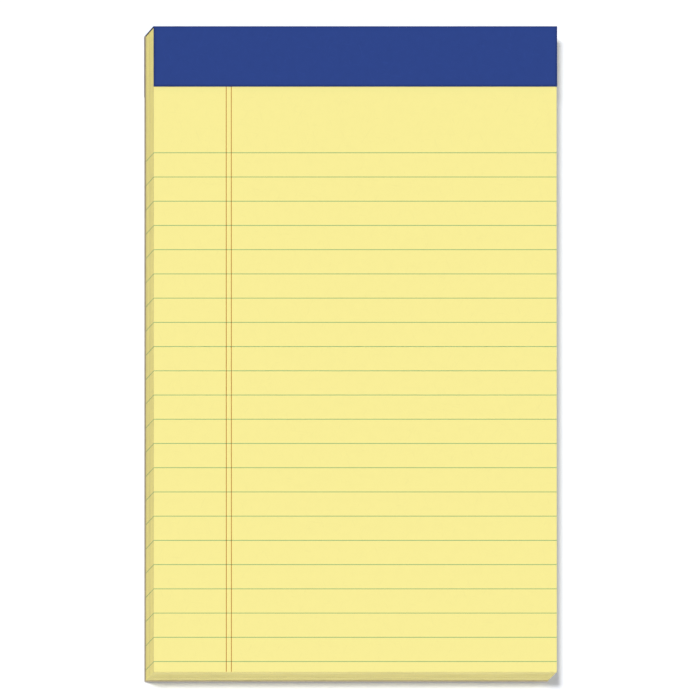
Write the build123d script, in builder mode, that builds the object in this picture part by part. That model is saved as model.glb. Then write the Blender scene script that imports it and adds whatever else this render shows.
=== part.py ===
from build123d import *
import os

# Legal pad lying on its back, in millimetres.
# +X is the reader's right, +Y points to the bound head, +Z out of the writing face.
# The origin is under the middle of the pad, on the surface it lies on.

# Sheets, padded into one block
sheet_width = 127.0
sheet_length = 203.2
sheet_count = 50
sheet_thickness = 0.104

# Chipboard back
board_thickness = 0.76

# Binding strip, glued down over the head, its depths measured from the outside of the fold
strip_thickness = 0.2
strip_front_depth = 19.05
strip_back_depth = 19.05
head_round = 0.15

# Staples of flattened wire, driven from the front and hidden by the strip
wire_width = 0.7
wire_thickness = 0.5
wire_edge_bevel = 0.12
wire_clearance = 0.03
crown_length = 12.7
clinch_length = 4.2
point_bevel = 0.3
bend_radius = 0.6
staple_inset = 8.0
staple_spacing = 63.5

# Levels and lines that the pieces share
board_bottom = strip_thickness
board_top = board_bottom + board_thickness
stack_height = sheet_count * sheet_thickness
stack_top = board_top + stack_height
tail_y = -(sheet_length + strip_thickness) / 2
head_y = tail_y + sheet_length
middle_y = (tail_y + head_y) / 2
staple_y = head_y - staple_inset

# Each staple: its node's name and the middle of its crown
staple_middles = {
    "staple_left": -staple_spacing / 2,
    "staple_right": staple_spacing / 2,
}


def staple_outline(middle_x, clearance=0.0):
    """Side view of one staple: a crown, two legs and two clinched ends, swollen by a clearance."""
    half = (crown_length - wire_thickness) / 2
    crown_z = stack_top - wire_thickness / 2
    clinch_z = board_bottom + wire_thickness / 2
    tip = half - clinch_length - clearance
    with BuildLine(mode=Mode.PRIVATE) as centreline:
        FilletPolyline(
            (middle_x - tip, clinch_z),
            (middle_x - half, clinch_z),
            (middle_x - half, crown_z),
            (middle_x + half, crown_z),
            (middle_x + half, clinch_z),
            (middle_x + tip, clinch_z),
            radius=bend_radius,
        )
    trace(centreline.line, line_width=wire_thickness + 2 * clearance)


def press_in_staples():
    """Cut the grooves and holes that the staples fill, in the piece being built."""
    for middle_x in staple_middles.values():
        with BuildSketch(Plane.XZ.offset(-staple_y)) as seat:
            staple_outline(middle_x, wire_clearance)
        extrude(seat.sketch, amount=wire_width / 2 + wire_clearance, both=True, mode=Mode.SUBTRACT)


# The block of sheets, its top corner at the head drawn round by the strip
with BuildPart() as sheet_stack:
    with BuildSketch(Plane.YZ) as stack_section:
        with Locations((middle_y, (board_top + stack_top) / 2)):
            Rectangle(sheet_length, stack_height)
        fillet(stack_section.vertices().group_by(Axis.X)[-1].sort_by(Axis.Y)[-1], head_round)
    extrude(amount=sheet_width / 2, both=True)
    press_in_staples()
sheet_stack.part.label = "sheet_stack"

# The chipboard back, its bottom corner at the head drawn round by the strip
with BuildPart() as backing_board:
    with BuildSketch(Plane.YZ) as board_section:
        with Locations((middle_y, (board_bottom + board_top) / 2)):
            Rectangle(sheet_length, board_thickness)
        fillet(board_section.vertices().group_by(Axis.X)[-1].sort_by(Axis.Y)[0], head_round)
    extrude(amount=sheet_width / 2, both=True)
    press_in_staples()
backing_board.part.label = "backing_board"

# The binding strip: front leg, bend over the head, back leg
with BuildPart() as binding_strip:
    with BuildSketch(Plane.YZ):
        with BuildLine():
            FilletPolyline(
                (head_y + strip_thickness - strip_front_depth, stack_top),
                (head_y, stack_top),
                (head_y, board_bottom),
                (head_y + strip_thickness - strip_back_depth, board_bottom),
                radius=head_round,
            )
            offset(amount=strip_thickness, side=Side.LEFT)
        make_face()
    extrude(amount=sheet_width / 2, both=True)
binding_strip.part.label = "binding_strip"

os.makedirs("parts", exist_ok=True)
export_step(sheet_stack.part, "parts/sheet_stack.step")
export_step(backing_board.part, "parts/backing_board.step")
export_step(binding_strip.part, "parts/binding_strip.step")

# The staples: chisel points on the clinched ends, and the wire's long edges flattened off
for node, middle_x in staple_middles.items():
    with BuildPart() as staple:
        with BuildSketch(Plane.XZ.offset(-staple_y)) as side_view:
            staple_outline(middle_x)
            end_corners = side_view.vertices().sort_by_distance((middle_x, board_bottom))[:4]
            chamfer(end_corners.sort_by(Axis.Y)[:2], point_bevel)
        extrude(amount=wire_width / 2, both=True)
        long_edges = staple.edges().group_by(Axis.Y)
        chamfer(long_edges[0] + long_edges[-1], wire_edge_bevel)
    staple.part.label = node
    export_step(staple.part, f"parts/{node}.step")
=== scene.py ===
"""Finishes, ruled sheets and studio of a small yellow legal pad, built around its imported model.

Lengths are in metres in the pad's own frame: +X to the reader's right, +Y towards the bound head,
+Z out of the writing face, with the origin under the middle of the pad.
"""

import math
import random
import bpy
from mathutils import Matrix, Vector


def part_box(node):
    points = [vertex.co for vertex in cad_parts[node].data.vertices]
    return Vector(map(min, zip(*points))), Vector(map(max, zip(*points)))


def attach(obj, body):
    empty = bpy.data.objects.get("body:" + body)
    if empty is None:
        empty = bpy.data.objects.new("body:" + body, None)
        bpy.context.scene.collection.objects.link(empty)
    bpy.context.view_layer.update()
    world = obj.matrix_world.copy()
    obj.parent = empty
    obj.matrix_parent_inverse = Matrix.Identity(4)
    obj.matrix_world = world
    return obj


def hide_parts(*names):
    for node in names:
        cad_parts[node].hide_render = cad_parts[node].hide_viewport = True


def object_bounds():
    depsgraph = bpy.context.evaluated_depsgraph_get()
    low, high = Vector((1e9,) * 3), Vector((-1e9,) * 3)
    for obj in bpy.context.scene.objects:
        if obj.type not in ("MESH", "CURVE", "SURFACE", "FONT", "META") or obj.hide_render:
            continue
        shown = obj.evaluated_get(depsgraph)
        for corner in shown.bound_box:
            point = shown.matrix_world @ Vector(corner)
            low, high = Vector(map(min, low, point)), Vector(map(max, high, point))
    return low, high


bl_info = {
    "name": "Legal Pad",
    "version": (1, 0, 0),
    "blender": (4, 5, 0),
    "location": "3D View > Sidebar > Legal Pad",
    "description": "Ruled sheets, paper and board finishes, and a plain studio for a legal pad",
    "category": "Object",
}

import bpy
from bpy.props import FloatProperty, FloatVectorProperty, IntProperty, PointerProperty
from mathutils import Matrix, Vector

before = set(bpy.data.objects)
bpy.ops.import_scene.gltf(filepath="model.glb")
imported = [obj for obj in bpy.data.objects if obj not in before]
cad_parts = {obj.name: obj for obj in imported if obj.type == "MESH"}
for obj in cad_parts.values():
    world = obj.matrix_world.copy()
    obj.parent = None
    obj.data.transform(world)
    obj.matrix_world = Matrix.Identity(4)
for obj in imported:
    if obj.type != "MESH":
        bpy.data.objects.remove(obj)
CAD_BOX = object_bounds()
MM = 0.001

STACK_LOW, STACK_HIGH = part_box("sheet_stack")
STRIP_LOW, STRIP_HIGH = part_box("binding_strip")
BOARD_LOW, BOARD_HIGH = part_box("backing_board")
STAPLES = [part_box("staple_left"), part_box("staple_right")]

SHEET_SEED = 7
PLAIN_WHITE = (1, 1, 1, 1)


def srgb(red, green, blue):
    """A colour written as it looks on a screen, 0 to 255, in the linear values that Blender keeps."""
    return tuple(
        c / 12.92 if c <= 0.04045 else ((c + 0.055) / 1.055) ** 2.4
        for c in (red / 255, green / 255, blue / 255)
    )


def length(name, description, millimetres):
    """A length property whose default is given in millimetres."""
    return FloatProperty(
        name=name, description=description, default=millimetres * MM,
        subtype="DISTANCE", unit="LENGTH", precision=5,
    )


def share(name, description, default, highest=1.0):
    """A plain number between 0 and a highest value."""
    return FloatProperty(
        name=name, description=description, default=default, min=0.0, max=highest, subtype="FACTOR"
    )


def colour(name, description, red, green, blue):
    """A colour property whose default is given as it looks on a screen."""
    return FloatVectorProperty(
        name=name, description=description, default=srgb(red, green, blue),
        subtype="COLOR", size=3, min=0.0, max=1.0,
    )


class PadSheets(bpy.types.PropertyGroup):
    """Sizes of the sheets that make the block"""

    count: IntProperty(name="Sheets", description="Sheets in the block", default=50, min=2)
    paper_share: share("Paper share", "Share of the block's height that is paper, the rest being air", 0.9)
    trim_scatter: length("Trim scatter", "How far in one sheet's cut edge may stand", 0.08)
    trim_bow: length("Trim bow", "How far the block's cut sides wander along their length", 0.05)
    tail_rise: length("Tail rise", "How far the top sheet rises at the loose end", 0.12)
    head_round: length("Head round", "Radius of the block's top corner under the strip", 0.15)
    # Depth of the band at the head where the padding glue lies; its dark colour is painted shade of the
    # gap under the strip's fold.
    glued_depth: length("Glued depth", "How far glue has soaked into the cut edges from the head", 0.35)
    staple_clearance: length("Staple clearance", "Room round the staples in the sheets", 0.03)
    staple_wire: length("Staple wire", "Thickness of the staples' wire", 0.5)
    staple_bend: length("Staple bend", "Inner radius of the staples' bends", 0.35)


class PadRuling(bpy.types.PropertyGroup):
    """Where the printed lines lie on a sheet"""

    count: IntProperty(name="Rules", description="Rules across a sheet", default=22, min=0)
    first: length("First rule", "From the top of the pad to the first rule", 39.88)
    pitch: length("Rule pitch", "From one rule to the next", 7.63)
    width: length("Rule width", "Width of a printed rule", 0.2)
    margin_left: length("Left margin line", "From the sheet's left edge to the first margin line", 22.9)
    margin_right: length("Right margin line", "From the sheet's left edge to the second margin line", 24.5)
    margin_width: length("Margin line width", "Width of a margin line", 0.24)


class PadColours(bpy.types.PropertyGroup):
    """Colours of the paper, inks, strip, board and wire"""

    paper: colour("Paper", "Face of the sheets", 249, 238, 151)
    # Painted shade in part: cut edges with gaps between sheets are a little darker than the face, and the
    # rest of this darkness stands for the shade on the pad's sides.
    shaded_paper_edge: colour("Paper edge", "Cut edges of the sheets", 212, 203, 141)
    rule_ink: colour("Rule ink", "Printed rules", 112, 167, 106)
    # Painted shade: this near-black colour at the head stands for the shade in the gap under the strip's
    # fold, where the padding glue lies.
    glued_edge: colour("Glued edge", "Cut edges at the head, dark with padding glue", 62, 54, 48)
    rule_edge: colour("Rule ends", "Rules as they show on the cut edges", 120, 148, 112)
    margin_ink: colour("Margin ink", "Printed margin lines", 180, 112, 8)
    crossed_ink: colour("Crossed ink", "Where rules and margin lines cross", 66, 58, 6)
    strip: colour("Strip", "Binding strip", 41, 65, 134)
    # Painted shade: the strip is darkened near its fold, its cut ends and its front edge.
    strip_edge: colour("Strip edge", "Binding strip where pressing darkened its bend and ends", 30, 46, 96)
    board: colour("Board", "Chipboard", 170, 157, 128)
    board_fibre: colour("Board fibre", "Dark fibres in the chipboard", 104, 88, 66)
    steel: colour("Steel", "Staple wire", 178, 178, 174)


class PadStudio(bpy.types.PropertyGroup):
    """Camera, lamps and floor"""

    slant_x: share("Slant across", "How far the view slants to the left for each unit of depth", 0.49, 2.0)
    slant_y: share("Slant along", "How far the view slants to the tail for each unit of depth", 0.528, 2.0)
    frame_width: length("Frame width", "Width of the picture at the writing face", 220.40)
    aim_x: length("Aim across", "Where the middle of the picture meets the face, across", -1.63)
    aim_y: length("Aim along", "Where the middle of the picture meets the face, along", -0.28)
    lens: FloatProperty(name="Lens", description="Focal length in millimetres", default=1000.0, min=50.0)
    key_share: share("Key lamp", "Share of the light on the face from the key lamp", 0.719)
    tail_share: share("Tail lamp", "Share of the light on the face from the low lamp at the tail", 0.056)
    side_share: share("Side lamp", "Share of the light on the face from the low lamp at the right", 0.035)
    room_share: share("Room light", "Share of the light on the face from the room all round", 0.19)
    glow: share("Floor glow", "Share of its own light that keeps the lit floor white", 0.16)
    floor: colour("Floor", "Floor as other surfaces see it", 165, 165, 163)


class LegalPadSettings(bpy.types.PropertyGroup):
    """All settings of the pad"""

    sheets: PointerProperty(type=PadSheets)
    ruling: PointerProperty(type=PadRuling)
    colours: PointerProperty(type=PadColours)
    studio: PointerProperty(type=PadStudio)


# Shader helpers


def add(tree, kind, inputs=None, **attributes):
    """Add a shader node, set its attributes, and fill or link its inputs."""
    made = tree.nodes.new("ShaderNode" + kind)
    for key, value in attributes.items():
        setattr(made, key, value)
    for key, value in (inputs or {}).items():
        if isinstance(value, bpy.types.NodeSocket):
            tree.links.new(value, made.inputs[key])
        else:
            made.inputs[key].default_value = value
    return made


def maths(tree, operation, *values):
    """One Math node's output."""
    return add(tree, "Math", dict(enumerate(values)), operation=operation).outputs[0]


def blend(tree, factor, first, second, kind="MIX"):
    """The colour between two colours."""
    mixer = add(tree, "Mix", {"Factor": factor, 6: first, 7: second}, data_type="RGBA", blend_type=kind)
    return mixer.outputs[2]


def ramp(tree, value, low, high):
    """A smooth step from 0 at low to 1 at high."""
    inputs = {"Value": value, "From Min": low, "From Max": high}
    return add(tree, "MapRange", inputs, interpolation_type="SMOOTHSTEP").outputs["Result"]


def noise(tree, vector, scale, detail=2.0, roughness=0.5):
    """A noise value round 0.5."""
    inputs = {"Vector": vector, "Scale": scale, "Detail": detail, "Roughness": roughness}
    return add(tree, "TexNoise", inputs).outputs[0]


def stretched(tree, vector, scale, turn=0.0):
    """Coordinates turned about Z and then stretched."""
    turned = add(tree, "VectorRotate", {"Vector": vector, "Angle": turn}, rotation_type="Z_AXIS")
    return add(tree, "VectorMath", {0: turned.outputs[0], 1: scale}, operation="MULTIPLY").outputs[0]


def new_group(name, inputs, outputs):
    """An empty shader node group with named sockets: (name, kind, default) for each input."""
    tree = bpy.data.node_groups.new(name, "ShaderNodeTree")
    for label, kind, default in inputs:
        socket = tree.interface.new_socket(label, in_out="INPUT", socket_type="NodeSocket" + kind)
        socket.default_value = default
    for label, kind in outputs:
        tree.interface.new_socket(label, in_out="OUTPUT", socket_type="NodeSocket" + kind)
    entry = tree.nodes.new("NodeGroupInput")
    leave = tree.nodes.new("NodeGroupOutput")
    return tree, entry.outputs, leave.inputs


FIBRE_TURNS = (0.5, 1.7, 2.8)
FIBRE_STRETCH = (1.0, 0.1, 1.0)
GRAIN_PER_FIBRE = 5.0


def fibre_group():
    """Cloudy tone, scattered fibres and grain, as in any paper or board."""
    tree, given, out = new_group(
        "Paper Fibre",
        [
            ("Colour", "Color", PLAIN_WHITE),
            ("Fibre Colour", "Color", PLAIN_WHITE),
            ("Fibre Amount", "Float", 0.2),
            ("Cloud Amount", "Float", 0.05),
            ("Cloud Scale", "Float", 400.0),
            ("Fibre Scale", "Float", 900.0),
        ],
        [("Colour", "Color"), ("Height", "Float")],
    )
    place = add(tree, "TexCoord").outputs["Object"]
    cloud = noise(tree, place, given["Cloud Scale"], detail=4.0, roughness=0.6)
    tone = maths(tree, "MULTIPLY_ADD", maths(tree, "SUBTRACT", cloud, 0.5), given["Cloud Amount"], 1.0)
    strands = None
    for turn in FIBRE_TURNS:
        along = stretched(tree, place, FIBRE_STRETCH, turn)
        felt = noise(tree, along, given["Fibre Scale"], detail=3.0, roughness=0.55)
        strand = ramp(tree, felt, low=0.62, high=0.74)
        strands = strand if strands is None else maths(tree, "MAXIMUM", strands, strand)
    grey = add(tree, "CombineColor", {0: tone, 1: tone, 2: tone}).outputs[0]
    toned = blend(tree, 1.0, given["Colour"], grey, "MULTIPLY")
    seen = maths(tree, "MULTIPLY", strands, given["Fibre Amount"])
    tree.links.new(blend(tree, seen, toned, given["Fibre Colour"]), out["Colour"])
    grain_scale = maths(tree, "MULTIPLY", given["Fibre Scale"], GRAIN_PER_FIBRE)
    grain = noise(tree, place, grain_scale, detail=3.0, roughness=0.6)
    height = maths(tree, "MULTIPLY_ADD", strands, 0.5, maths(tree, "MULTIPLY", grain, 0.5))
    tree.links.new(height, out["Height"])
    return tree


STREAK_SCALE = 40.0
BROAD_STREAKS = 0.17


def layer_group():
    """Thin streaks of lighter and darker layers, as on the cut edges of sheets or board."""
    tree, given, out = new_group(
        "Cut Layers",
        [
            ("Colour", "Color", PLAIN_WHITE),
            ("Layer Height", "Float", 0.1 * MM),
            ("Contrast", "Float", 0.2),
        ],
        [("Colour", "Color"), ("Height", "Float")],
    )
    place = add(tree, "TexCoord").outputs["Object"]
    axes = add(tree, "SeparateXYZ", {0: place}).outputs
    level = maths(tree, "DIVIDE", axes[2], given["Layer Height"])
    across = maths(tree, "MULTIPLY", axes[0], STREAK_SCALE)
    along = maths(tree, "MULTIPLY", axes[1], STREAK_SCALE)
    fine = add(tree, "CombineXYZ", {0: across, 1: along, 2: level}).outputs[0]
    broad_level = maths(tree, "MULTIPLY", level, BROAD_STREAKS)
    broad = add(tree, "CombineXYZ", {0: across, 1: along, 2: broad_level}).outputs[0]
    thin_streaks = noise(tree, fine, scale=1.0, detail=2.0)
    wide_streaks = noise(tree, broad, scale=1.0, detail=3.0)
    streak = maths(tree, "ADD", thin_streaks, wide_streaks)
    tone = maths(tree, "MULTIPLY_ADD", maths(tree, "SUBTRACT", streak, 1.0), given["Contrast"], 1.0)
    grey = add(tree, "CombineColor", {0: tone, 1: tone, 2: tone}).outputs[0]
    tree.links.new(blend(tree, 1.0, given["Colour"], grey, "MULTIPLY"), out["Colour"])
    tree.links.new(streak, out["Height"])
    return tree


PATCH_SCALE = 260.0


def rub_and_shade_group():
    """A mask that fades with the distance from an edge, broken where its evenness is low: wear on the
    board, painted shade on the strip.
    """
    tree, given, out = new_group(
        "Edge Rub And Shade",
        [
            ("Distance", "Float", 0.0),
            ("Reach", "Float", 1.0 * MM),
            ("Amount", "Float", 0.5),
            ("Evenness", "Float", 0.0),
        ],
        [("Mask", "Float")],
    )
    place = add(tree, "TexCoord").outputs["Object"]
    patches = ramp(tree, noise(tree, place, PATCH_SCALE, detail=5.0, roughness=0.65), low=0.42, high=0.66)
    patches = maths(tree, "MAXIMUM", patches, given["Evenness"])
    near = maths(tree, "SUBTRACT", 1.0, ramp(tree, given["Distance"], low=0.0, high=given["Reach"]))
    mask = maths(tree, "MULTIPLY", maths(tree, "MULTIPLY", near, patches), given["Amount"])
    tree.links.new(mask, out["Mask"])
    return tree


def group_node(tree, group, **inputs):
    """One use of a shader node group; names of inputs are given with _ for a space."""
    used = add(tree, "Group", node_tree=group)
    for key, value in inputs.items():
        socket = used.inputs[key.replace("_", " ")]
        if isinstance(value, bpy.types.NodeSocket):
            tree.links.new(value, socket)
        else:
            socket.default_value = value
    return used


def new_material(name, roughness, specular=0.5, metallic=0.0):
    """A material with a Principled shader: its tree and the shader's inputs."""
    made = bpy.data.materials.new(name)
    made.use_nodes = True
    inputs = made.node_tree.nodes["Principled BSDF"].inputs
    inputs["Roughness"].default_value = roughness
    inputs["Specular IOR Level"].default_value = specular
    inputs["Metallic"].default_value = metallic
    return made, made.node_tree, inputs


def raise_grain(tree, inputs, height, depth):
    """Feed a height to the shader as bump of a real depth."""
    bump = add(tree, "Bump", {"Height": height, "Distance": depth, "Strength": 1.0})
    tree.links.new(bump.outputs[0], inputs["Normal"])


def full(rgb):
    """A colour with its alpha."""
    return (*rgb, 1.0)


def shade(rgb, factor):
    """A colour made lighter or darker."""
    return full(c * factor for c in rgb)


def seen_plainly(tree):
    """1 where the camera, a mirror or glass looks at a surface, and 0 where only light falls on it."""
    light_path = add(tree, "LightPath").outputs
    seen = maths(tree, "ADD", light_path["Is Camera Ray"], light_path["Is Glossy Ray"])
    return maths(tree, "MINIMUM", maths(tree, "ADD", seen, light_path["Is Transmission Ray"]), 1.0)


# Materials, each with its own function


def writing_paper(groups, colours):
    """Uncoated yellow writing paper, seen from its face."""
    made, tree, inputs = new_material("writing_paper", roughness=0.72, specular=0.2)
    fibre = group_node(
        tree, groups["fibre"], Colour=full(colours.paper), Fibre_Colour=shade(colours.paper, 0.93),
        Fibre_Amount=0.35, Cloud_Amount=0.035, Cloud_Scale=330.0, Fibre_Scale=2200.0,
    )
    tree.links.new(fibre.outputs["Colour"], inputs["Base Color"])
    raise_grain(tree, inputs, fibre.outputs["Height"], depth=0.006 * MM)
    return made


def cut_paper(groups, name, base):
    """The cut edges of the sheets: plain ones partly darkened as painted shade, printed ones, and at the
    head, where the glue lies, painted dark as the shade of the gap under the strip's fold.
    """
    made, tree, inputs = new_material(name, roughness=0.85, specular=0.1)
    layers = group_node(
        tree, groups["layers"], Colour=full(base), Layer_Height=0.104 * MM, Contrast=0.35
    )
    tree.links.new(layers.outputs["Colour"], inputs["Base Color"])
    raise_grain(tree, inputs, layers.outputs["Height"], depth=0.02 * MM)
    return made


def printed_ink(groups, name, base):
    """Ink printed on paper, uneven along the line, with the paper's grain under it."""
    made, tree, inputs = new_material(name, roughness=0.6, specular=0.35)
    fibre = group_node(
        tree, groups["fibre"], Colour=full(base), Fibre_Colour=shade(base, 1.25),
        Fibre_Amount=0.4, Cloud_Amount=0.6, Cloud_Scale=1500.0, Fibre_Scale=2200.0,
    )
    tree.links.new(fibre.outputs["Colour"], inputs["Base Color"])
    raise_grain(tree, inputs, fibre.outputs["Height"], depth=0.012 * MM)
    return made


def edge_distance(tree, low, high):
    """Distance from a point on a box's skin to the nearest of the box's edges."""
    place = add(tree, "TexCoord").outputs["Object"]
    axes = add(tree, "SeparateXYZ", {0: place}).outputs
    from_low = [maths(tree, "SUBTRACT", axes[i], low[i]) for i in range(3)]
    from_high = [maths(tree, "SUBTRACT", high[i], axes[i]) for i in range(3)]
    across, along, up = [maths(tree, "MINIMUM", *pair) for pair in zip(from_low, from_high)]
    nearer = maths(tree, "MINIMUM", across, along)
    farther = maths(tree, "MAXIMUM", across, along)
    second = maths(tree, "MAXIMUM", nearer, maths(tree, "MINIMUM", farther, up))
    return maths(tree, "MAXIMUM", second, 0.0)


def binding_paper(groups, colours):
    """Blue binding paper with a fine grain, darkened with painted shade near its fold, its cut ends and
    its front edge.
    """
    made, tree, inputs = new_material("binding_paper", roughness=0.75, specular=0.15)
    fibre = group_node(
        tree, groups["fibre"], Colour=full(colours.strip), Fibre_Colour=shade(colours.strip, 1.35),
        Fibre_Amount=0.2, Cloud_Amount=0.1, Cloud_Scale=420.0, Fibre_Scale=2400.0,
    )
    # Painted shade: a dark band along the strip's edges and fold, fading inwards.
    rub_and_shade = group_node(
        tree, groups["rub_and_shade"], Distance=edge_distance(tree, STRIP_LOW, STRIP_HIGH),
        Reach=0.9 * MM, Amount=0.85, Evenness=0.8,
    )
    worn_and_shaded = blend(tree, rub_and_shade.outputs["Mask"], fibre.outputs["Colour"], full(colours.strip_edge))
    tree.links.new(worn_and_shaded, inputs["Base Color"])
    raise_grain(tree, inputs, fibre.outputs["Height"], depth=0.02 * MM)
    return made


LEAST_UPRIGHT = 0.7


def chipboard(groups, colours):
    """Raw grey-brown chipboard: flecked faces, layered edges, and paler where the edges are rubbed."""
    made, tree, inputs = new_material("chipboard", roughness=0.9, specular=0.15)
    fibre = group_node(
        tree, groups["fibre"], Colour=full(colours.board), Fibre_Colour=full(colours.board_fibre),
        Fibre_Amount=0.4, Cloud_Amount=0.4, Cloud_Scale=650.0, Fibre_Scale=1500.0,
    )
    layers = group_node(
        tree, groups["layers"], Colour=fibre.outputs["Colour"], Layer_Height=0.16 * MM, Contrast=0.35
    )
    upright = add(tree, "SeparateXYZ", {0: add(tree, "NewGeometry").outputs["Normal"]}).outputs[2]
    flat = maths(tree, "GREATER_THAN", maths(tree, "ABSOLUTE", upright), LEAST_UPRIGHT)
    rub_and_shade = group_node(
        tree, groups["rub_and_shade"], Distance=edge_distance(tree, BOARD_LOW, BOARD_HIGH),
        Reach=0.3 * MM, Amount=0.35,
    )
    faced = blend(tree, flat, layers.outputs["Colour"], fibre.outputs["Colour"])
    worn_and_shaded = blend(tree, rub_and_shade.outputs["Mask"], faced, shade(colours.board, 1.25))
    tree.links.new(worn_and_shaded, inputs["Base Color"])
    raise_grain(tree, inputs, fibre.outputs["Height"], depth=0.04 * MM)
    return made


WIRE_SCRATCHES = (60.0, 9000.0, 9000.0)
WIRE_ROUGHNESS = 0.35
WIRE_UNEVENNESS = 0.2


def staple_steel(colours):
    """Drawn steel wire with fine scratches along it."""
    made, tree, inputs = new_material("staple_steel", roughness=WIRE_ROUGHNESS, metallic=1.0)
    place = add(tree, "TexCoord").outputs["Object"]
    drawn = noise(tree, stretched(tree, place, WIRE_SCRATCHES), scale=1.0, detail=2.0)
    tone = blend(tree, drawn, shade(colours.steel, 0.82), full(colours.steel))
    tree.links.new(tone, inputs["Base Color"])
    smoothest = WIRE_ROUGHNESS - WIRE_UNEVENNESS / 2
    scratched = maths(tree, "MULTIPLY_ADD", drawn, WIRE_UNEVENNESS, smoothest)
    tree.links.new(scratched, inputs["Roughness"])
    return made


FLOOR_SEEN = (0.95, 0.965, 1, 1)
FLOOR_GLOW = (0.8, 0.85, 1, 1)


def studio_floor(studio):
    """Pale floor that is seen as white paper, its cool tint balancing the yellow that the pad casts."""
    made, tree, inputs = new_material("studio_floor", roughness=0.9, specular=0.0)
    seen = seen_plainly(tree)
    tree.links.new(blend(tree, seen, full(studio.floor), FLOOR_SEEN), inputs["Base Color"])
    inputs["Emission Color"].default_value = FLOOR_GLOW
    tree.links.new(maths(tree, "MULTIPLY", seen, studio.glow), inputs["Emission Strength"])
    return made


# Meshes of the sheets

FACE, CUT, RULE, RULE_END, MARGIN, CROSSED, SHADED_GLUE = range(7)
WALLS = {"rule": RULE_END, "glued": SHADED_GLUE}
SHORTEST_ROW = 0.01 * MM
AIR_WAVES = (20, 70)
LEAST_AIR = 0.2
TRIM_WAVE = 17.0
TRIM_WAVE_START = 0.7
MOST_SKEW = 0.3


def ripple(angle, least=0.0):
    """A wave that swings between a least value and 1."""
    return (1 + least) / 2 + (1 - least) / 2 * math.sin(angle)


class SheetPlan:
    """Everything that the sheets share: levels along the pad, cuts across it and the staples' room."""

    def __init__(self, settings):
        self.sheets = settings.sheets
        self.ruling = settings.ruling
        self.left, self.right = STACK_LOW.x, STACK_HIGH.x
        self.tail, self.head = STACK_LOW.y, STACK_HIGH.y
        self.strip_edge = STRIP_LOW.y
        height = STACK_HIGH.z - STACK_LOW.z
        count = self.sheets.count
        self.thickness = height / count * self.sheets.paper_share
        self.step = (height - self.thickness) / (count - 1)
        chance = random.Random(SHEET_SEED)
        weights = [chance.random() ** 3 for _ in range(count)]
        total = sum(weights)
        self.gaps = [
            (weight / total, chance.uniform(*AIR_WAVES), chance.uniform(0, math.tau)) for weight in weights
        ]
        self.scatter = [[chance.random() for _ in range(4)] for _ in range(count)]

    def rules(self):
        """The middle of each rule, from the top one down."""
        for index in range(self.ruling.count):
            yield CAD_BOX[1].y - self.ruling.first - index * self.ruling.pitch

    def margins(self):
        """The middle of each margin line."""
        return [self.left + self.ruling.margin_left, self.left + self.ruling.margin_right]

    def bottom_of(self, index):
        """Height of the underside of a sheet where nothing lifts it."""
        return STACK_LOW.z + index * self.step

    def head_of(self, index):
        """Where a sheet ends at the head: the top ones are drawn back round the corner."""
        radius = self.sheets.head_round
        above = self.bottom_of(index) + self.thickness - (STACK_HIGH.z - radius)
        if above <= 0:
            return self.head
        return self.head - radius + math.sqrt(max(radius * radius - above * above, 0.0))

    def rise(self, index, y):
        """How far the air between sheets lifts a sheet: nothing under the strip, most at the tail."""
        along = min(max((self.strip_edge - y) / (self.strip_edge - self.tail), 0.0), 1.0)
        eased = along * along * (3 - 2 * along)
        lifts = (part * ripple(wave * y + turn, LEAST_AIR) for part, wave, turn in self.gaps[: index + 1])
        return self.sheets.tail_rise * eased * sum(lifts)

    def place(self, index, x, y):
        """X, Y, underside and top of a point of a sheet, with the scatter that trimming leaves."""
        left, right, skew, tail = self.scatter[index]
        low = self.bottom_of(index) + self.rise(index, y)
        bow = self.sheets.trim_bow * ripple(TRIM_WAVE * y + TRIM_WAVE_START)
        spread = self.sheets.trim_scatter
        turned = MOST_SKEW * skew * y / self.tail
        if x == self.left:
            x += spread * max(left + turned, 0.0) + bow
        elif x == self.right:
            x -= spread * max(right - turned, 0.0) + bow
        if y == self.tail:
            y += spread * tail
        return x, y, low, low + self.thickness

    def staple_holes(self, index):
        """Gaps for the staples in one sheet, as pairs of X, for the row between their two sides."""
        room = self.sheets.staple_clearance
        wire = self.sheets.staple_wire
        top = self.bottom_of(index) + self.thickness
        holes = []
        for low, high in STAPLES:
            crown_under = high.z - wire - room
            if top > crown_under:
                holes.append((low.x - room, high.x + room))
                continue
            bend = self.sheets.staple_bend
            under = min(crown_under - top, bend)
            reach = wire + room + bend - math.sqrt(bend * bend - (bend - under) ** 2)
            holes.append((low.x - room, low.x + reach))
            holes.append((high.x - reach, high.x + room))
        return holes


def sheet_rows(plan, index):
    """Rows of one sheet from tail to head: (start, end, kind); kind is plain, rule, staple or glued, the
    last a band at the head painted dark as shade.
    """
    half = plan.ruling.width / 2
    room = plan.sheets.staple_clearance
    bands = [(y - half, y + half, "rule") for y in plan.rules()]
    bands.append((STAPLES[0][0].y - room, STAPLES[0][1].y + room, "staple"))
    rows, reached = [], plan.tail
    for start, end, kind in sorted(bands):
        rows.append((reached, start, "plain"))
        rows.append((start, end, kind))
        reached = end
    head = plan.head_of(index)
    # The row at the head takes the glue colour, painted dark as the shade of the gap under the strip's
    # fold.
    glued = plan.head - plan.sheets.glued_depth
    rows.append((reached, min(glued, head - SHORTEST_ROW), "plain"))
    rows.append((rows[-1][1], head, "glued"))
    return rows


def slot_of(kind, in_margin):
    """The material slot of a printed or plain cell of a sheet's face."""
    if kind == "rule":
        return CROSSED if in_margin else RULE
    if kind == "glued":
        return SHADED_GLUE
    return MARGIN if in_margin else FACE


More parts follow.
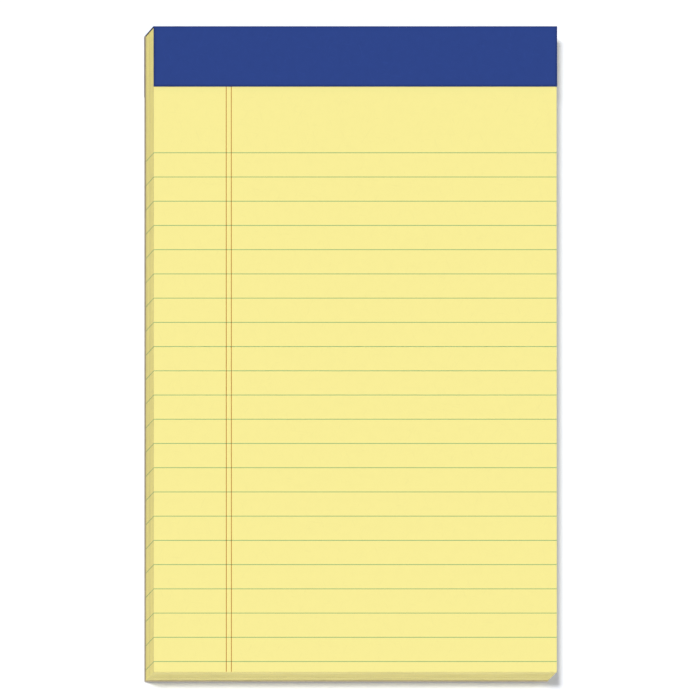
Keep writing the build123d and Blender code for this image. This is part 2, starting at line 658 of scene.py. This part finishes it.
def lay_sheet(plan, index, margins, mesh):
    """Add one sheet to the points, faces and slots in mesh, with margin lines where margins says."""
    rows = sheet_rows(plan, index)
    half = plan.ruling.margin_width / 2
    bands = [(middle - half, middle + half) for middle in margins]
    holes = plan.staple_holes(index)
    sides = sorted([plan.left, plan.right, *(x for band in bands for x in band)])
    with_holes = sorted([*sides, *(x for hole in holes for x in hole)])
    cuts = [with_holes if kind == "staple" else sides for _, _, kind in rows]
    levels = [rows[0][0], *(end for _, end, _ in rows)]
    stops, pairs = [], {}
    for level, y in enumerate(levels):
        beside = {*cuts[max(level - 1, 0)], *cuts[min(level, len(rows) - 1)]}
        stops.append(sorted(beside))
        for x in stops[-1]:
            pairs[level, x] = mesh.add_pair(*plan.place(index, x, y))
    walls = {}
    for row, (_, _, kind) in enumerate(rows):
        for start, end in zip(cuts[row], cuts[row][1:]):
            middle = (start + end) / 2
            if kind == "staple" and any(low < middle < high for low, high in holes):
                continue
            slot = slot_of(kind, any(low < middle < high for low, high in bands))
            near = [(row, x) for x in stops[row] if start <= x <= end]
            far = [(row + 1, x) for x in reversed(stops[row + 1]) if start <= x <= end]
            outline = near + far
            mesh.add_face([pairs[corner][1] for corner in outline], slot)
            mesh.add_face([pairs[corner][0] for corner in reversed(outline)], slot)
            for here, there in zip(outline, outline[1:] + outline[:1]):
                walls[here, there] = kind
    for (here, there), kind in walls.items():
        if (there, here) in walls:
            continue
        (low_here, high_here), (low_there, high_there) = pairs[here], pairs[there]
        slot = WALLS.get(kind, CUT) if here[1] == there[1] else CUT
        mesh.add_face([low_here, low_there, high_there, high_here], slot)


class MeshParts:
    """Points, faces and material slots of a mesh while it grows."""

    def __init__(self):
        self.points, self.faces, self.slots = [], [], []

    def add_pair(self, x, y, low, high):
        """Add a point and the one above it, and give both numbers."""
        self.points += [(x, y, low), (x, y, high)]
        return len(self.points) - 2, len(self.points) - 1

    def add_face(self, corners, slot):
        """Add a face with its material slot."""
        self.faces.append(corners)
        self.slots.append(slot)

    def to_object(self, name, materials):
        """A Blender object with these faces and materials."""
        data = bpy.data.meshes.new(name)
        data.from_pydata(self.points, [], self.faces)
        for material in materials:
            data.materials.append(material)
        data.polygons.foreach_set("material_index", self.slots)
        data.validate()
        made = bpy.data.objects.new(name, data)
        bpy.context.scene.collection.objects.link(made)
        return made


def dress(node, material):
    """Give a carried-over solid its material."""
    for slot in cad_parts[node].material_slots:
        slot.material = material


def shader_groups():
    """The shader groups that several materials share, made once."""
    makers = {
        "fibre": ("Paper Fibre", fibre_group),
        "layers": ("Cut Layers", layer_group),
        "rub_and_shade": ("Edge Rub And Shade", rub_and_shade_group),
    }
    return {key: bpy.data.node_groups.get(name) or make() for key, (name, make) in makers.items()}


# Operators, one for each piece or group of like pieces and one for the stage


class LEGALPAD_OT_lay_sheets(bpy.types.Operator):
    """Lay the ruled sheets, the top one as a piece of its own"""

    bl_idname = "legal_pad.lay_sheets"
    bl_label = "Lay Sheets"

    def execute(self, context):
        settings = context.scene.legal_pad
        groups, colours = shader_groups(), settings.colours
        materials = [
            writing_paper(groups, colours),
            # Cut edges, darkened in part as painted shade of the pad's sides.
            cut_paper(groups, "cut_paper", colours.shaded_paper_edge),
            printed_ink(groups, "rule_ink", colours.rule_ink),
            cut_paper(groups, "rule_end", colours.rule_edge),
            printed_ink(groups, "margin_ink", colours.margin_ink),
            printed_ink(groups, "crossed_ink", colours.crossed_ink),
            # Painted shade: the dark glued edge at the head.
            cut_paper(groups, "glued_edge", colours.glued_edge),
        ]
        plan = SheetPlan(settings)
        last = settings.sheets.count - 1
        block = MeshParts()
        for index in range(last):
            lay_sheet(plan, index, [], block)
        top = MeshParts()
        lay_sheet(plan, last, plan.margins(), top)
        for name, parts in (("lower_sheets", block), ("top_sheet", top)):
            piece = parts.to_object(name, materials)
            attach(piece, "root")
            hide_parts("sheet_stack")
        return {"FINISHED"}


class LEGALPAD_OT_finish_board(bpy.types.Operator):
    """Give the backing board its chipboard finish"""

    bl_idname = "legal_pad.finish_board"
    bl_label = "Finish Board"

    def execute(self, context):
        dress("backing_board", chipboard(shader_groups(), context.scene.legal_pad.colours))
        return {"FINISHED"}


class LEGALPAD_OT_finish_strip(bpy.types.Operator):
    """Give the binding strip its blue paper finish"""

    bl_idname = "legal_pad.finish_strip"
    bl_label = "Finish Strip"

    def execute(self, context):
        dress("binding_strip", binding_paper(shader_groups(), context.scene.legal_pad.colours))
        return {"FINISHED"}


class LEGALPAD_OT_finish_staples(bpy.types.Operator):
    """Give the staples their drawn steel finish"""

    bl_idname = "legal_pad.finish_staples"
    bl_label = "Finish Staples"

    def execute(self, context):
        steel = staple_steel(context.scene.legal_pad.colours)
        for node in ("staple_left", "staple_right"):
            dress(node, steel)
        return {"FINISHED"}


FLOOR_HALF = 10.0
FLOOR_DROP = 0.01 * MM

# Directions from the pad towards the lamps, and how wide the lamps look from there, in degrees
KEY_TOWARDS = (-0.71, 0.26, 1.0)
TAIL_TOWARDS = (0.3, -18.5, 1.0)
SIDE_TOWARDS = (14.0, 6.0, 1.0)
KEY_ANGLE = 17.0
LOW_ANGLE = 8.0


def add_floor(context, studio):
    """A wide floor, a hair below the pad so that the two never lie in one plane."""
    half = FLOOR_HALF
    data = bpy.data.meshes.new("studio_floor")
    corners = [(-half, -half, 0), (half, -half, 0), (half, half, 0), (-half, half, 0)]
    data.from_pydata(corners, [], [(0, 1, 2, 3)])
    data.materials.append(studio_floor(studio))
    floor = bpy.data.objects.new("studio_floor", data)
    context.scene.collection.objects.link(floor)
    floor.location.z = -FLOOR_DROP


def add_sun(context, name, towards, share_of_face, angle, mirrored=True):
    """A distant lamp that gives the writing face a share of its full light, with or without shine."""
    towards = Vector(towards).normalized()
    data = bpy.data.lights.new(name, "SUN")
    data.energy = share_of_face * math.pi / towards.z
    data.angle = math.radians(angle)
    lamp = bpy.data.objects.new(name, data)
    lamp.rotation_euler = towards.to_track_quat("Z", "Y").to_euler()
    lamp.visible_glossy = mirrored
    context.scene.collection.objects.link(lamp)


def add_camera(context, studio):
    """A far camera whose picture plane is parallel to the writing face while its line of sight slants.

    The slant is a shear in the matrix between the camera and the empty that carries it, so the face
    stays a true rectangle, and the pad's thickness shows to the left and below, as in a slanted drawing.
    """
    aim = bpy.data.objects.new("camera_aim", None)
    aim.location = (studio.aim_x, studio.aim_y, STACK_HIGH.z)
    context.scene.collection.objects.link(aim)
    data = bpy.data.cameras.new("camera")
    data.lens = studio.lens
    data.clip_end = 100.0
    camera = bpy.data.objects.new("camera", data)
    context.scene.collection.objects.link(camera)
    line = Vector((-studio.slant_x, -studio.slant_y, 1.0))
    camera.parent = aim
    camera.matrix_parent_inverse = Matrix(
        ((1, 0, line.x, 0), (0, 1, line.y, 0), (0, 0, 1, 0), (0, 0, 0, 1))
    )
    camera.location = (0, 0, studio.frame_width * data.lens / data.sensor_width / line.length)
    context.scene.camera = camera


def light_room(context, studio):
    """Even white light from all round, which is seen as plain white."""
    world = bpy.data.worlds.new("studio_room")
    world.use_nodes = True
    context.scene.world = world
    tree = world.node_tree
    background = tree.nodes["Background"].inputs
    background["Color"].default_value = PLAIN_WHITE
    seen = seen_plainly(tree)
    strength = maths(tree, "MULTIPLY_ADD", seen, 1.0 - studio.room_share, studio.room_share)
    tree.links.new(strength, background["Strength"])


class LEGALPAD_OT_set_studio(bpy.types.Operator):
    """Set up the floor, lamps, room light and camera"""

    bl_idname = "legal_pad.set_studio"
    bl_label = "Set Studio"

    def execute(self, context):
        studio = context.scene.legal_pad.studio
        add_floor(context, studio)
        add_sun(context, "key_lamp", KEY_TOWARDS, studio.key_share, KEY_ANGLE)
        add_sun(context, "tail_lamp", TAIL_TOWARDS, studio.tail_share, LOW_ANGLE, False)
        add_sun(context, "side_lamp", SIDE_TOWARDS, studio.side_share, LOW_ANGLE, False)
        light_room(context, studio)
        add_camera(context, studio)
        context.scene.view_settings.view_transform = "Standard"
        return {"FINISHED"}


class LEGALPAD_PT_sidebar(bpy.types.Panel):
    """Settings and steps of the legal pad"""

    bl_idname = "LEGALPAD_PT_sidebar"
    bl_label = "Legal Pad"
    bl_space_type = "VIEW_3D"
    bl_region_type = "UI"
    bl_category = "Legal Pad"

    def draw(self, context):
        settings = context.scene.legal_pad
        for title in ("sheets", "ruling", "colours", "studio"):
            box = self.layout.box()
            box.label(text=title.capitalize())
            group = getattr(settings, title)
            for name in group.__annotations__:
                box.prop(group, name)
        for step in OPERATORS:
            self.layout.operator(step.bl_idname)


OPERATORS = (
    LEGALPAD_OT_lay_sheets,
    LEGALPAD_OT_finish_board,
    LEGALPAD_OT_finish_strip,
    LEGALPAD_OT_finish_staples,
    LEGALPAD_OT_set_studio,
)
CLASSES = (PadSheets, PadRuling, PadColours, PadStudio, LegalPadSettings, *OPERATORS, LEGALPAD_PT_sidebar)


def register():
    """Make the settings, steps and sidebar known to Blender."""
    for cls in CLASSES:
        bpy.utils.register_class(cls)
    bpy.types.Scene.legal_pad = PointerProperty(type=LegalPadSettings)


def unregister():
    """Take the settings, steps and sidebar out again."""
    del bpy.types.Scene.legal_pad
    for cls in reversed(CLASSES):
        bpy.utils.unregister_class(cls)


def main():
    """Build the pad and its studio."""
    register()
    bpy.ops.legal_pad.lay_sheets()
    bpy.ops.legal_pad.finish_board()
    bpy.ops.legal_pad.finish_strip()
    bpy.ops.legal_pad.finish_staples()
    bpy.ops.legal_pad.set_studio()


if __name__ == "__main__":
    main()
